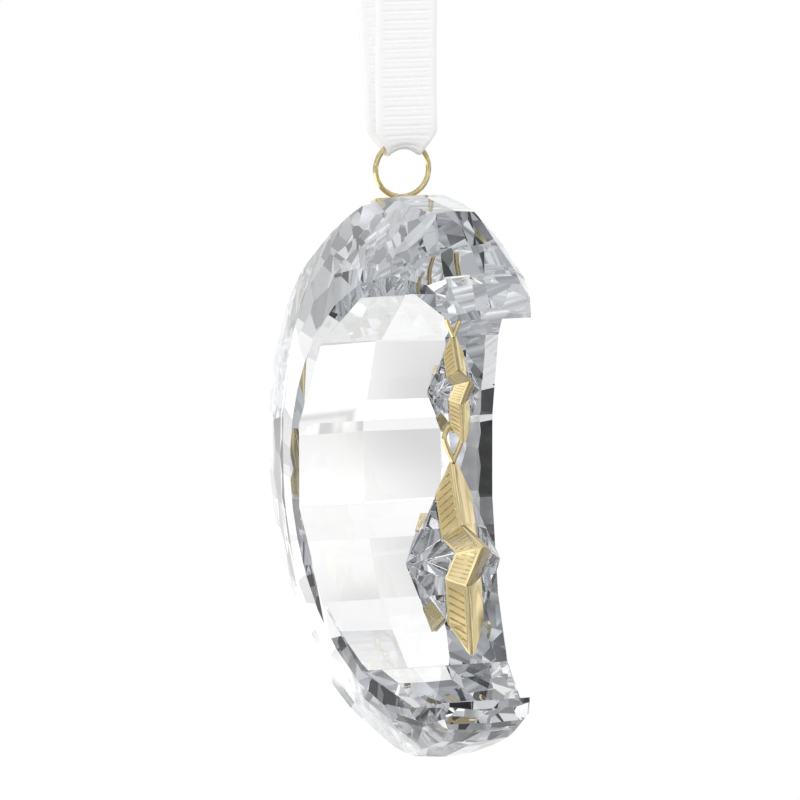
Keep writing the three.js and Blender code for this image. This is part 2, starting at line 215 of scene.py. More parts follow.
def line_point(p0, p1, p2, p3, u):
    """A point between p1 and p2 on the centripetal Catmull-Rom curve through four points."""
    knots = [0.0]
    for a, b in ((p0, p1), (p1, p2), (p2, p3)):
        knots.append(knots[-1] + math.sqrt((b - a).length))
    t = knots[1] + u * (knots[2] - knots[1])

    def mix(a, b, low, high):
        return a.lerp(b, (t - knots[low]) / (knots[high] - knots[low]))

    a1, a2, a3 = mix(p0, p1, 0, 1), mix(p1, p2, 1, 2), mix(p2, p3, 2, 3)
    return mix(mix(a1, a2, 0, 2), mix(a2, a3, 1, 3), 1, 2)


def smooth_line(marks, closed=False, fine=24):
    """Many points through the marks; an open line's first and last marks only steer it."""
    n = len(marks)
    spans = n if closed else n - 3
    points = []
    for i in range(spans):
        four = [marks[(i + k) % n] for k in range(4)]
        points += [line_point(*four, k / fine) for k in range(fine)]
    points.append(marks[1] if closed else marks[-2])
    return points


def even_points(fine, count):
    """count + 1 points at equal steps along a line of many points, and the line's length."""
    run = [0.0]
    for a, b in zip(fine, fine[1:]):
        run.append(run[-1] + (b - a).length)
    points = []
    j = 0
    for k in range(count + 1):
        s = run[-1] * k / count
        while j < len(fine) - 2 and run[j + 1] < s:
            j += 1
        points.append(fine[j].lerp(fine[j + 1], (s - run[j]) / (run[j + 1] - run[j])))
    return points, run[-1]


def loop_edges(verts):
    return list({e for v in verts for e in v.link_edges})


def sweep_loop(bm, marks, across, radius, steps=72, sides=16):
    """Round wire along a closed smooth line through the marks. The line stays square to across."""
    path = even_points(smooth_line(marks, closed=True), steps)[0][:-1]
    loops = []
    for i, centre in enumerate(path):
        along = (path[(i + 1) % steps] - path[i - 1]).normalized()
        turn = Matrix((across, along.cross(across), along)).transposed().to_4x4()
        turn.translation = centre
        made = bmesh.ops.create_circle(bm, segments=sides, radius=radius, matrix=turn)
        loops.append(loop_edges(made["verts"]))
    for a, b in zip(loops, loops[1:] + loops[:1]):
        bmesh.ops.bridge_loops(bm, edges=a + b)


def add_ring(bm, centre, axis, radius, wire, steps=72, sides=16):
    """A ring of round wire, spun about its axis."""
    out = axis.orthogonal().normalized()
    turn = Matrix((out, axis, out.cross(axis))).transposed().to_4x4()
    turn.translation = centre + out * radius
    section = bmesh.ops.create_circle(bm, segments=sides, radius=wire, matrix=turn)["verts"]
    bmesh.ops.spin(
        bm,
        geom=section + loop_edges(section),
        cent=centre,
        axis=axis,
        angle=2 * math.pi,
        steps=steps,
        use_merge=True,
    )


def bevel_edges(bm, edges, offset, segments=2):
    bmesh.ops.bevel(
        bm,
        geom=list(edges),
        offset=offset,
        segments=segments,
        profile=0.5,
        affect="EDGES",
        material=-1,
        clamp_overlap=True,
    )


def sharp_edges(bm, degrees):
    return [e for e in bm.edges if e.is_manifold and e.calc_face_angle() > math.radians(degrees)]


# Materials

WHITE = (1, 1, 1, 1)
TURNS_INSIDE = 3.5                     # reflections inside the crystal before its light leaves


def new_material(name):
    material = bpy.data.materials.new(name)
    material.use_nodes = True
    nodes = material.node_tree.nodes
    return material, nodes, material.node_tree.links, nodes["Principled BSDF"]


def add_noise(nodes, links, place, scale, detail=2, roughness=0.5):
    """Noise over a place, with its scale in waves per unit of that place."""
    noise = nodes.new("ShaderNodeTexNoise")
    noise.inputs["Scale"].default_value = scale
    noise.inputs["Detail"].default_value = detail
    noise.inputs["Roughness"].default_value = roughness
    links.new(place, noise.inputs["Vector"])
    return noise.outputs["Fac"]


def add_range(nodes, links, value, low, high, start=0, end=1, interpolation="LINEAR"):
    """Carries a value over, so that start becomes low and end becomes high."""
    span = nodes.new("ShaderNodeMapRange")
    span.interpolation_type = interpolation
    span.inputs["From Min"].default_value = start
    span.inputs["From Max"].default_value = end
    span.inputs["To Min"].default_value = low
    span.inputs["To Max"].default_value = high
    links.new(value, span.inputs["Value"])
    return span.outputs["Result"]


def add_bump(nodes, links, height, strength, distance):
    """A bump node, so that one bump can lie on another."""
    bump = nodes.new("ShaderNodeBump")
    bump.inputs["Strength"].default_value = strength
    bump.inputs["Distance"].default_value = distance
    links.new(height, bump.inputs["Height"])
    return bump


def add_ramp(nodes, links, value, stops):
    """Colours over a value from 0 to 1. Each stop is a place and a colour, or a shade of grey."""
    ramp = nodes.new("ShaderNodeValToRGB")
    elements = ramp.color_ramp.elements
    elements.remove(elements[1])
    elements[0].position = stops[0][0]
    for at, shade in stops[1:]:
        elements.new(at)
    for element, (at, shade) in zip(elements, stops):
        colour = shade if isinstance(shade, tuple) else (shade,) * 3
        element.color = (*colour, 1)
    links.new(value, ramp.inputs["Fac"])
    return ramp.outputs["Color"]


def add_math(nodes, links, operation, first, second):
    """One step of arithmetic on a socket, with a second socket or a number."""
    step = nodes.new("ShaderNodeMath")
    step.operation = operation
    links.new(first, step.inputs[0])
    if isinstance(second, bpy.types.NodeSocket):
        links.new(second, step.inputs[1])
    else:
        step.inputs[1].default_value = second
    return step.outputs[0]


def add_mix(nodes, links, factor, first, second, blend="MIX"):
    """Two colours mixed. Each input is a socket or a fixed value."""
    mix = nodes.new("ShaderNodeMix")
    mix.data_type = "RGBA"
    mix.blend_type = blend
    for name, value in (("Factor", factor), ("A", first), ("B", second)):
        if isinstance(value, bpy.types.NodeSocket):
            links.new(value, mix.inputs[name])
        else:
            mix.inputs[name].default_value = value
    return mix.outputs["Result"]


def mix_surface(nodes, links, share, first, second):
    """Two shaders mixed on the material's surface."""
    mix = nodes.new("ShaderNodeMixShader")
    links.new(share, mix.inputs["Fac"])
    links.new(first.outputs[0], mix.inputs[1])
    links.new(second.outputs[0], mix.inputs[2])
    links.new(mix.outputs[0], nodes["Material Output"].inputs["Surface"])


def crystal_material():
    """Clear crystal: its look comes from its facets, with the faintest polishing haze."""
    name = "Clear crystal"
    if name in bpy.data.materials:
        return bpy.data.materials[name]
    material, nodes, links, shader = new_material(name)
    shader.inputs["Base Color"].default_value = WHITE
    shader.inputs["Transmission Weight"].default_value = 1
    shader.inputs["IOR"].default_value = settings("crystal").ior
    place = nodes.new("ShaderNodeTexCoord").outputs["Object"]
    haze = add_noise(nodes, links, place, scale=90, detail=3)
    rough = add_range(nodes, links, haze, low=0, high=0.02, start=0.35, end=0.75)
    links.new(rough, shader.inputs["Roughness"])

    # Light that the facets have turned back a few times leaves, so no facet goes dead black
    path = nodes.new("ShaderNodeLightPath").outputs
    trapped = add_math(nodes, links, "GREATER_THAN", path["Glossy Depth"], TURNS_INSIDE)
    mix_surface(nodes, links, trapped, shader, nodes.new("ShaderNodeBsdfTransparent"))
    return material


def gold_material():
    """Pale gold plate over castings: polished a little wavy, with fine marks and tone changes."""
    name = "Pale gold plate"
    if name in bpy.data.materials:
        return bpy.data.materials[name]
    gold = settings("gold")
    material, nodes, links, shader = new_material(name)
    shader.inputs["Metallic"].default_value = 1
    place = nodes.new("ShaderNodeTexCoord").outputs["Object"]
    tone = add_noise(nodes, links, place, scale=220)
    deep = tuple(channel * 0.9 for channel in gold.colour)
    colours = add_ramp(nodes, links, tone, ((0.3, deep), (0.7, tuple(gold.colour))))
    links.new(colours, shader.inputs["Base Color"])
    marks = add_noise(nodes, links, place, scale=2600)
    rough = add_range(nodes, links, marks, low=gold.roughness * 0.7, high=gold.roughness * 1.4)
    links.new(rough, shader.inputs["Roughness"])
    wave = add_noise(nodes, links, place, scale=170, detail=0)
    cast = add_bump(nodes, links, wave, strength=1, distance=0.25 * MM)
    polish = add_bump(nodes, links, marks, strength=0.05, distance=0.01 * MM)
    links.new(cast.outputs["Normal"], polish.inputs["Normal"])
    links.new(polish.outputs["Normal"], shader.inputs["Normal"])
    return material


def setting_material():
    """The frames' inner walls, bright as silver, so that no gold shows through the stones."""
    name = "Bright setting"
    if name in bpy.data.materials:
        return bpy.data.materials[name]
    material, nodes, links, shader = new_material(name)
    shader.inputs["Metallic"].default_value = 1
    shader.inputs["Base Color"].default_value = (0.95, 0.955, 0.96, 1)
    place = nodes.new("ShaderNodeTexCoord").outputs["Object"]
    marks = add_noise(nodes, links, place, scale=1400)
    rough = add_range(nodes, links, marks, low=0.03, high=0.12)
    links.new(rough, shader.inputs["Roughness"])
    return material


def ribbon_material():
    """White grosgrain: fine warp threads over the ribs, and a soft sheen."""
    name = "White grosgrain"
    if name in bpy.data.materials:
        return bpy.data.materials[name]
    material, nodes, links, shader = new_material(name)
    shader.inputs["Base Color"].default_value = (*settings("ribbon").colour, 1)
    shader.inputs["Roughness"].default_value = 0.75
    shader.inputs["Sheen Weight"].default_value = 0.25
    shader.inputs["Sheen Roughness"].default_value = 0.4
    uv = nodes.new("ShaderNodeUVMap")
    uv.uv_map = "UVMap"
    threads = nodes.new("ShaderNodeTexWave")
    threads.bands_direction = "Y"
    threads.inputs["Scale"].default_value = 1200
    threads.inputs["Distortion"].default_value = 0.6
    links.new(uv.outputs["UV"], threads.inputs["Vector"])
    weave = add_bump(nodes, links, threads.outputs["Fac"], strength=0.35, distance=0.03 * MM)
    links.new(weave.outputs["Normal"], shader.inputs["Normal"])
    return material


# Ribbon

# Middle of the ribbon's thickness: x, and z above the fold, in millimetres
RIBBON_ROUTE = [
    (-5.7, 20.5), (-5.95, 23), (-6.3, 29), (-6.1, 36), (-5.3, 43), (-3.95, 48.4), (-2.2, 51.4),
    (0, 52.25),
    (2.0, 51.4), (3.2, 48.4), (3.75, 43), (3.6, 36), (3.0, 29), (2.3, 23), (1.75, 16), (1.6, 9.5),
    (1.75, 5), (1.85, 2.6), (1.65, 0.95), (0.95, 0.12),
    (-0.1, 0), (-1.3, 0.3), (-2.0, 1.25), (-2.4, 2.9), (-2.85, 5), (-3.95, 9.5), (-5.1, 14),
    (-5.85, 17.5), (-6.35, 21), (-6.75, 25), (-7.0, 29),
]
STATIONS = 1200                        # steps along the ribbon
CELLS = 22                             # and across one face of it
# In the ring the ribbon is narrower, and its edges arch down
ARCH_REACH = 2.3 * MM
ARCH_HALF_WIDTH = 2.15 * MM
ARCH_DROP = 0.95 * MM
# Its edges are plain and rounded, and the ribs rise a little way in
SELVAGE = 1.1 * MM
RIB_START = SELVAGE * 0.75
RIB_RAMP = SELVAGE * 0.3
EDGE_ROUND = 0.25 * MM
EDGE_THICKNESS = 0.3                   # share of the thickness that is left at the edge
# Each rib ends in a deep line and has a faint one: place as a share of the pitch, depth, width
RIB_LINES = ((0, 0.1 * MM, 0.13 * MM), (0.42, 0.035 * MM, 0.12 * MM))


def clamp(value):
    return min(max(value, 0), 1)


def even_route(count):
    """Points at equal steps along the ribbon's route, and its length."""
    marks = [Vector((x * MM, 0, z * MM + FOLD_Z)) for x, z in RIBBON_ROUTE]
    first = marks[0] * 2 - marks[1]
    last = marks[-1] * 2 - marks[-2]
    return even_points(smooth_line([first, *marks, last]), count)


def rib_height(s, pitch):
    """Height of the cross ribs at one distance along the ribbon."""
    height = 0
    for start, depth, width in RIB_LINES:
        away = abs((s / pitch - start + 0.5) % 1 - 0.5) * pitch
        height -= depth * math.exp(-((away / width) ** 2))
    return height


def ribbon_ring(bm, ribbon, points, k, s):
    """The ribbon's outline at one station, at the distance s from its start."""
    centre = points[k]
    along = (points[min(k + 1, STATIONS)] - points[max(k - 1, 0)]).normalized()
    out = Vector((along.z, 0, -along.x))
    t = clamp((centre.z - FOLD_Z) / ARCH_REACH)
    t = t * t * (3 - 2 * t)
    half = ARCH_HALF_WIDTH + (ribbon.width / 2 - ARCH_HALF_WIDTH) * t
    drop = ARCH_DROP * (1 - t)
    ribs = rib_height(s, ribbon.rib_pitch)
    ring = []
    for side in (1, -1):
        for c in range(CELLS + 1):
            v = side * (1 - 2 * c / CELLS)
            inset = ribbon.width / 2 * (1 - abs(v))
            body = clamp((inset - RIB_START) / RIB_RAMP)
            edge = math.sqrt(1 - clamp(1 - inset / EDGE_ROUND) ** 2)
            rise = ribbon.thickness / 2 * (EDGE_THICKNESS + (1 - EDGE_THICKNESS) * edge)
            place = centre + out * (side * (rise + ribs * body))
            place.y = v * half
            place.z -= drop * v * v
            ring.append(bm.verts.new(place))
    return ring


def make_ribbon():
    ribbon = settings("ribbon")
    points, length = even_route(STATIONS)
    bm = bmesh.new()
    uv = bm.loops.layers.uv.new("UVMap")
    rings = [
        ribbon_ring(bm, ribbon, points, k, length * k / STATIONS) for k in range(STATIONS + 1)
    ]
    count = len(rings[0])
    for k in range(STATIONS):
        for c in range(count):
            d = (c + 1) % count
            face = bm.faces.new((rings[k][c], rings[k][d], rings[k + 1][d], rings[k + 1][c]))
            across = (c, c + 1, c + 1, c)
            steps = (k, k, k + 1, k + 1)
            for loop, a, step in zip(face.loops, across, steps):
                loop[uv].uv = (length * step / STATIONS, ribbon.width * a / CELLS)
    bm.faces.new(list(reversed(rings[0])))
    bm.faces.new(rings[-1])
    bmesh.ops.recalc_face_normals(bm, faces=bm.faces)
    piece = add_object("ribbon", bm, ribbon_material(), "ribbon", sharp_from=60)
    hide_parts("ribbon_loop")


class ORNAMENT_OT_ribbon(bpy.types.Operator):
    """Makes the grosgrain ribbon that runs through the ring"""

    bl_idname = "ornament.ribbon"
    bl_label = "Ribbon"

    def execute(self, context):
        make_ribbon()
        return {"FINISHED"}


# Star frames

STAR_STEP = math.radians(72)           # from one point to the next
STAR_WAIST = 0.5                       # notch radius over point radius
FRAME_SHARE = 0.35                     # how far in the frame reaches, over the facet's reach
# A line runs round the rim, and every edge is a little rounded
RIM_BORDER = 0.13 * MM
RIM_DEPTH = 0.07 * MM
FRAME_EDGE = 0.06 * MM
# The front strips are engraved between plain borders, with lines that taper out
GROOVE_BORDER = 0.28 * MM
GROOVE_TAPER = 0.14 * MM
FIRST_GROOVE = 0.55                    # its place along the strip, in pitches
DISH_EDGE = 0.9 * MM                   # the plain back strips are a little hollow
DISH_DEPTH = 0.14 * MM
BAIL_SINK = 0.5 * MM
# How wide and how high a bail's side lies, from its foot to its top, as shares of its size
BAIL_SHAPE = ((0.12, 0.1), (0.62, 0.36), (1, 0.66), (0.61, 0.885))
BORDER, TAPER, CORE = 1, 2, 3          # marks on a strip's faces
SETTING_SLOT = 1                       # material slot of the inner wall
WALL_LEAN = 0.1                        # a wall's normal lies this near to the frame's plane
STRIP_SLOPE = 0.3                      # and a strip's normal this far out of it
STRIP_SHARE = 0.3                      # least area of a strip, over the largest face's
SAME_PLANE = 0.999                     # least cosine between the normals of one strip's faces
TOUCH = 1e-7                           # points nearer than this are in one place
LINE_TOUCH = 2e-7                      # and points nearer than this to a cut are on it

# For each star: radius to its points, half depth of its rim, radius of the bail's wire, half
# width of the bail, its rise over the top point, height of the wire it hangs on, fineness of
# its detail
STARS = {
    "small_star": {
        "radius": 7.2 * MM, "ridge": 0.2 * MM, "wire": 0.3 * MM, "bail": 0.85 * MM,
        "rise": 3.11 * MM, "hangs_on": EYE_BOTTOM_Z + EYE_WIRE, "fine": 0.58,
    },
    "big_star": {
        "radius": 12.9 * MM, "ridge": 0.3 * MM, "wire": 0.34 * MM, "bail": 1.15 * MM,
        "rise": 4.26 * MM, "hangs_on": LOWER_EYE_BOTTOM_Z + LOWER_EYE_WIRE, "fine": 1,
    },
}


def bail_top(star):
    return Vector((PENDANT_X, 0, star["hangs_on"] + LINK_PLAY + star["wire"]))


def star_centre(star):
    return bail_top(star) - Vector((0, 0, star["rise"] + star["radius"]))


def star_loop(bm, centre, radius, y):
    """The star's outline as a loop of edges, at one depth."""
    turn = Matrix.Rotation(math.pi / 2, 4, "X")
    turn.translation = centre + Vector((0, y, 0))
    verts = bmesh.ops.create_circle(bm, segments=10, radius=radius, matrix=turn)["verts"]
    for v in verts:
        out = v.co - turn.translation
        share = math.atan2(out.x, out.z) / STAR_STEP
        if abs(share - round(share)) > 0.25:
            v.co = turn.translation + out * STAR_WAIST
    return loop_edges(verts)


def star_belt(bm, star, centre, half_depth):
    """The frame's belt: two leaning strips that meet in a ridge, and a straight inner wall."""
    inner = star["radius"] * (1 - FRAME_SHARE)
    ridge = star["ridge"]
    loops = [
        star_loop(bm, centre, inner, -half_depth),
        star_loop(bm, centre, star["radius"], -ridge),
        star_loop(bm, centre, star["radius"], ridge),
        star_loop(bm, centre, inner, half_depth),
    ]
    for a, b in zip(loops, loops[1:] + loops[:1]):
        bmesh.ops.bridge_loops(bm, edges=a + b)
    bmesh.ops.recalc_face_normals(bm, faces=bm.faces)
    rim = [f for f in bm.faces if all(abs(abs(v.co.y) - ridge) < TOUCH for v in f.verts)]
    fine = star["fine"]
    bmesh.ops.inset_region(
        bm, faces=rim, thickness=RIM_BORDER * fine, depth=-RIM_DEPTH * fine,
        use_boundary=True, use_even_offset=True,
    )
    bevel_edges(bm, sharp_edges(bm, 12), FRAME_EDGE * fine)
    for face in bm.faces:
        inward = centre - face.calc_center_median()
        if abs(face.normal.y) < WALL_LEAN and face.normal.dot(inward) > 0:
            face.material_index = SETTING_SLOT


def strip_ends(strip, centre, star):
    """The notch and the point at the ends of one strip, from the star's centre."""
    middle = strip.calc_center_median() - centre
    angle = math.atan2(middle.x, middle.z)
    point_angle = STAR_STEP * round(angle / STAR_STEP)
    side = 1 if math.sin(angle - point_angle) > 0 else -1
    notch_angle = point_angle + side * STAR_STEP / 2
    point = Vector((math.sin(point_angle), 0, math.cos(point_angle))) * star["radius"]
    notch = Vector((math.sin(notch_angle), 0, math.cos(notch_angle))) * star["radius"] * STAR_WAIST
    return notch, point


def groove_normal(normal, edge, lean):
    """The way from one groove of a strip to the next."""
    out = normal.cross(edge)
    out = out if out.y > 0 else -out
    cut = normal.cross(out * math.cos(lean) + edge * math.sin(lean)).normalized()
    return cut if cut.dot(edge) > 0 else -cut


def marked_faces(bm, area, normal, marks):
    """The faces of the strip with this normal that have one of the marks."""
    return [f for f in bm.faces if f[area] in marks and f.normal.dot(normal) > SAME_PLANE]


def cut_grooves(bm, strip, centre, star, area):
    """Engraves one front strip with lines that lean towards the star's point."""
    lines = settings("star")
    fine = star["fine"]
    for mark, thickness in ((BORDER, GROOVE_BORDER), (TAPER, GROOVE_TAPER)):
        made = bmesh.ops.inset_individual(
            bm, faces=[strip], thickness=thickness * fine, depth=0, use_even_offset=True
        )
        for face in made["faces"]:
            face[area] = mark
        strip[area] = CORE
    normal = strip.normal.copy()
    notch, point = strip_ends(strip, centre, star)
    edge = (point - notch).normalized()
    cut = groove_normal(normal, edge, lines.groove_lean)
    start = min((v.co for v in strip.verts), key=lambda co: co.dot(edge))
    length = (point - notch).length * (1 - FRAME_SHARE)
    half = lines.groove_width * fine / 2
    count = int(length / (lines.groove_pitch * fine)) + 1
    for k in range(count):
        place = start + edge * lines.groove_pitch * fine * (k + FIRST_GROOVE)
        for shift in (-half, 0, half):
            faces = marked_faces(bm, area, normal, (TAPER, CORE))
            edges = {e for f in faces for e in f.edges}
            verts = {v for f in faces for v in f.verts}
            bmesh.ops.bisect_plane(
                bm, geom=faces + list(edges) + list(verts), dist=TOUCH,
                plane_co=place + cut * shift, plane_no=cut,
            )
        floor = {v for f in marked_faces(bm, area, normal, (CORE,)) for v in f.verts}
        for v in floor:
            on_line = abs((v.co - place).dot(cut)) < LINE_TOUCH
            if on_line and all(f[area] in (TAPER, CORE) for f in v.link_faces):
                v.co -= normal * lines.groove_depth * fine
    for f in bm.faces:
        if f[area] in (TAPER, CORE):
            f[area] = 0


def add_bail(bm, star):
    """The wire loop on the star's top point, by which it hangs."""
    top = bail_top(star)
    height = star["rise"] + BAIL_SINK
    foot = top - Vector((0, 0, height))
    sides = [Vector((0, star["bail"] * y, height * z)) for y, z in BAIL_SHAPE]
    marks = [foot, *(foot + v for v in sides), top]
    marks += [foot + Vector((0, -v.y, v.z)) for v in reversed(sides)]
    sweep_loop(bm, marks, Vector((1, 0, 0)), star["wire"])


def make_star_frame(name):
    star = STARS[name]
    node = name + "_frame"
    centre = star_centre(star)
    fine = star["fine"]
    bm = bmesh.new()
    star_belt(bm, star, centre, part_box(node)[1].y)
    area = bm.faces.layers.int.new("area")
    least = STRIP_SHARE * max(f.calc_area() for f in bm.faces)
    strips = [f for f in bm.faces if f.normal.y < -STRIP_SLOPE and f.calc_area() > least]
    for strip in strips:
        cut_grooves(bm, strip, centre, star, area)
    plain = [f for f in bm.faces if f.normal.y > STRIP_SLOPE and f.calc_area() > least]
    bmesh.ops.inset_individual(
        bm, faces=plain, thickness=DISH_EDGE * fine, depth=-DISH_DEPTH * fine, use_even_offset=True
    )
    add_bail(bm, star)
    if name == "small_star":
        eye = Vector((PENDANT_X, 0, LOWER_EYE_BOTTOM_Z + LOWER_EYE_RADIUS))
        add_ring(bm, eye, Vector((0, 1, 0)), LOWER_EYE_RADIUS, LOWER_EYE_WIRE, steps=48)
    bmesh.ops.recalc_face_normals(bm, faces=bm.faces)
    piece = add_object(name + "_gold", bm, gold_material(), name, sharp_from=24)
    piece.data.materials.append(setting_material())
    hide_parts(node)


class ORNAMENT_OT_star_frames(bpy.types.Operator):
    """Makes the engraved gold frames of both stars, with their bails and eye"""

    bl_idname = "ornament.star_frames"
    bl_label = "Star frames"

    def execute(self, context):
        for name in STARS:
            make_star_frame(name)
        return {"FINISHED"}


# Ring, plate and pin

LEVEL = 0.01 * MM                      # an edge lies level if its ends differ less in height
PLATE_CORNER = 0.5 * MM
PLATE_EDGE = 0.08 * MM
SOLDER_SIZE = (0.62 * MM, 1.3 * MM, 0.34 * MM)
SOLDER_RISE = 0.02 * MM                # its middle stands this far over the ring's lowest line


def make_hanger():
    bm = bmesh.new()
    centre = Vector((0, 0, RING_TOP_Z - RING_RADIUS))
    add_ring(bm, centre, Vector((1, 0, 0)), RING_RADIUS, RING_WIRE, steps=96, sides=20)
    bmesh.ops.recalc_face_normals(bm, faces=bm.faces)
    ring = add_object("ring", bm, gold_material(), "moon", sharp_from=40)
    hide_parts("hanging_ring")

    low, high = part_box("cap_plate")
    tilt = Matrix.Rotation(-PLATE_TILT, 4, "Y")
    bm = bmesh.new()
    bmesh.ops.create_cube(bm, size=1, matrix=Matrix.Diagonal((*PLATE_SIZE, 1)))
    upright = [e for e in bm.edges if abs((e.verts[0].co - e.verts[1].co).z) > LEVEL]
    bevel_edges(bm, upright, PLATE_CORNER, segments=5)
    bevel_edges(bm, sharp_edges(bm, 30), PLATE_EDGE)
    place = Matrix.Translation((low + high) / 2) @ tilt
    bmesh.ops.transform(bm, matrix=place, verts=bm.verts)
    plate = add_object("plate", bm, gold_material(), "moon", sharp_from=35)
    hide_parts("cap_plate")

    bm = bmesh.new()
    foot = Vector((0, 0, centre.z - RING_RADIUS + SOLDER_RISE))
    swell = Matrix.Translation(foot) @ tilt @ Matrix.Diagonal((*SOLDER_SIZE, 1))
    bmesh.ops.create_uvsphere(bm, u_segments=32, v_segments=16, radius=1, matrix=swell)
    add_object("solder", bm, gold_material(), "moon", sharp_from=40)

    bm = bmesh.new()
    eye = Vector((PENDANT_X, 0, EYE_BOTTOM_Z + EYE_RADIUS))
    add_ring(bm, eye, Vector((0, 1, 0)), EYE_RADIUS, EYE_WIRE, steps=56)
    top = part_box("horn_eye_pin")[1].z
    bottom = eye.z + EYE_RADIUS - EYE_WIRE / 2
    place = Matrix.Translation((PENDANT_X, 0, (top + bottom) / 2))
    bmesh.ops.create_cone(
        bm, cap_ends=True, segments=28, radius1=PIN_RADIUS, radius2=PIN_RADIUS,
        depth=top - bottom, matrix=place,
    )
    bmesh.ops.recalc_face_normals(bm, faces=bm.faces)
    pin = add_object("eye_pin", bm, gold_material(), "moon", sharp_from=40)
    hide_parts("horn_eye_pin")


class ORNAMENT_OT_hanger(bpy.types.Operator):
    """Makes the gold ring, its soldered plate and the eye pin of the stars"""

    bl_idname = "ornament.hanger"
    bl_label = "Ring, plate and pin"

    def execute(self, context):
        make_hanger()
        return {"FINISHED"}


# Crystal

CRYSTALS = {"moon_crystal": "moon", "small_star_stone": "small_star", "big_star_stone": "big_star"}
HOLE_REACH = PIN_RADIUS * 2            # the pin's hole has its corners this near to its axis
FACET_ANGLE = 3                        # degrees between two facets, at least


def fill_pin_hole(bm):
    """The pin is glued in with clear glue, so the crystal closes round it."""
    inside = [v for v in bm.verts if math.hypot(v.co.x - PENDANT_X, v.co.y) < HOLE_REACH]
    bmesh.ops.delete(bm, geom=inside, context="VERTS")
    rim = [e for e in bm.edges if e.is_boundary]
    bmesh.ops.contextual_create(bm, geom=rim)
    bmesh.ops.recalc_face_normals(bm, faces=bm.faces)
    if not rim or any(not e.is_manifold for e in bm.edges):
        raise RuntimeError("The eye pin's hole in the crystal did not close.")


def make_crystals():
    for node, body in CRYSTALS.items():
        bm = node_copy(node)
        if node == "moon_crystal":
            fill_pin_hole(bm)
        bevel_edges(bm, sharp_edges(bm, FACET_ANGLE), settings("crystal").edge, segments=1)
        piece = add_object(node + "_cut", bm, crystal_material(), body)
        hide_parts(node)


class ORNAMENT_OT_crystal(bpy.types.Operator):
    """Makes the cut crystal of the moon and the two star stones"""

    bl_idname = "ornament.crystal"
    bl_label = "Crystal"

    def execute(self, context):
        make_crystals()
        return {"FINISHED"}


# Stage

VIEW_AZIMUTH = math.radians(72)
VIEW_ELEVATION = math.radians(10)
VIEW_DISTANCE = 0.75
VIEW_LENS = 270
VIEW_SHIFT = (-0.0319, 0.0954)
VIEW_CLIP = (0.05, 50)
FLOOR_Z = -0.32
FLOOR_RADIUS = 0.9
FLOOR_COLOUR = (0.9, 0.9, 0.9, 1)
STUDIO_LIGHT = (0.8, 0.8, 0.8, 1)      # what the world gives to plain surfaces
KEY_POWER = 9
KEY_SIZE = 0.7
KEY_PLACE = (0.9, -0.9, 0.7)
SHADOW_REACH = (0.4, 0.72)             # the shadow fades out this far from the hanging point
SHADOW_SHARE = 0.35                    # how much of the floor's own light the camera sees

# The camera sees a white studio. Gold and crystal see shades in it, which the stops below give:
# each is a place and a shade. Along a side the places run from -1 to 1, and in patches and lines
# they are values of noise.

# The backdrop, from the side behind the ornament to the camera's side, and its folds
BACKDROP = (
    (-1, 1.1), (-0.78, 1.05), (-0.5, (0.84, 0.85, 0.87)), (0, (0.8, 0.81, 0.83)),
    (1, (0.88, 0.89, 0.91)),
)
FOLD_SCALE = 9
FOLD_SQUASH = 1.7
BACKDROP_FOLDS = ((0.37, 0.66), (0.44, 0.88), (0.5, 1), (0.62, 1.04))
GOLD_LIGHT = (1.12, 1.12, 1.12, 1)     # how much brighter the gold sees it

# The room, which light turned back inside the crystal sees, over the same sides
ONE_TURN = 0.55                        # how much of the room shows after one turn
ROOM_DEPTH = (
    (-1, 1.05), (-0.75, (0.95, 0.96, 0.98)), (-0.5, (0.6, 0.615, 0.64)),
    (0, (0.46, 0.475, 0.5)), (0.5, (0.38, 0.395, 0.42)), (1, (0.34, 0.355, 0.38)),
)
# Its shades by height, and from the camera's left to its right
ROOM_HEIGHT = ((-0.9, 0.6), (-0.35, 0.9), (0.1, 1.15), (0.6, 1.1))
ROOM_SIDE = ((-0.97, 0.6), (-0.85, 0.07), (-0.42, 0.07), (-0.25, 1), (0.5, 1), (0.8, 0.7))
# Its panels, and where they begin beside the backdrop
PANEL_SCALE = 2.1
PANEL_SQUASH = 5
ROOM_PANELS = (
    (0.32, 0.1), (0.41, 0.5), (0.46, 1), (0.5, 0.45), (0.55, 1.3), (0.6, 1.7), (0.68, 0.6),
)
PANELS_BEGIN = ((-0.7, 0), (-0.4, 1))
# Fine lines on its walls and floor, and the patches that hold them
LINE_FINE = 420
LINE_LONG = 12
LINE_SHADES = ((0.34, 0.45), (0.44, 0.88), (0.56, 1.05), (0.66, 1.8))
LINE_PATCH_SCALE = 3
LINE_PATCHES = ((0.42, 0), (0.5, 1))

FLOOR_SPAN = 0.5                       # distance on the floor over which a ramp runs from 0 to 1
# Painted shade on the floor that light turned back inside the crystal sees: lighter behind the
# ornament, darker towards the camera
ROOM_FLOOR = ((-0.4, (0.58, 0.595, 0.62)), (0, (0.46, 0.475, 0.5)), (0.6, (0.34, 0.355, 0.38)))
# Painted light and shade on the floor: glowing patches that show only straight through the crystal
PATCH_SCALE = 8
PATCH_REACH = (0.5, 0.68)              # they fade out this far from the hanging point
FLOOR_PATCHES = ((0.36, 0.26), (0.45, 0.4), (0.52, 0.62), (0.58, 0.5), (0.66, 1))
FLOOR_TINT = (0.94, 0.97, 1, 1)
# Painted light and shade that the gold sees on the floor: glowing patches, and shades from the
# camera's left to its right
GOLD_PATCH_SCALE = 9
GOLD_PATCHES = ((0.38, 0.5), (0.48, 0.85), (0.56, 1.15), (0.66, 1.35))
GOLD_SIDE = ((-0.5, 1.8), (-0.2, 1.35), (0, 0.9), (0.2, 0.45))


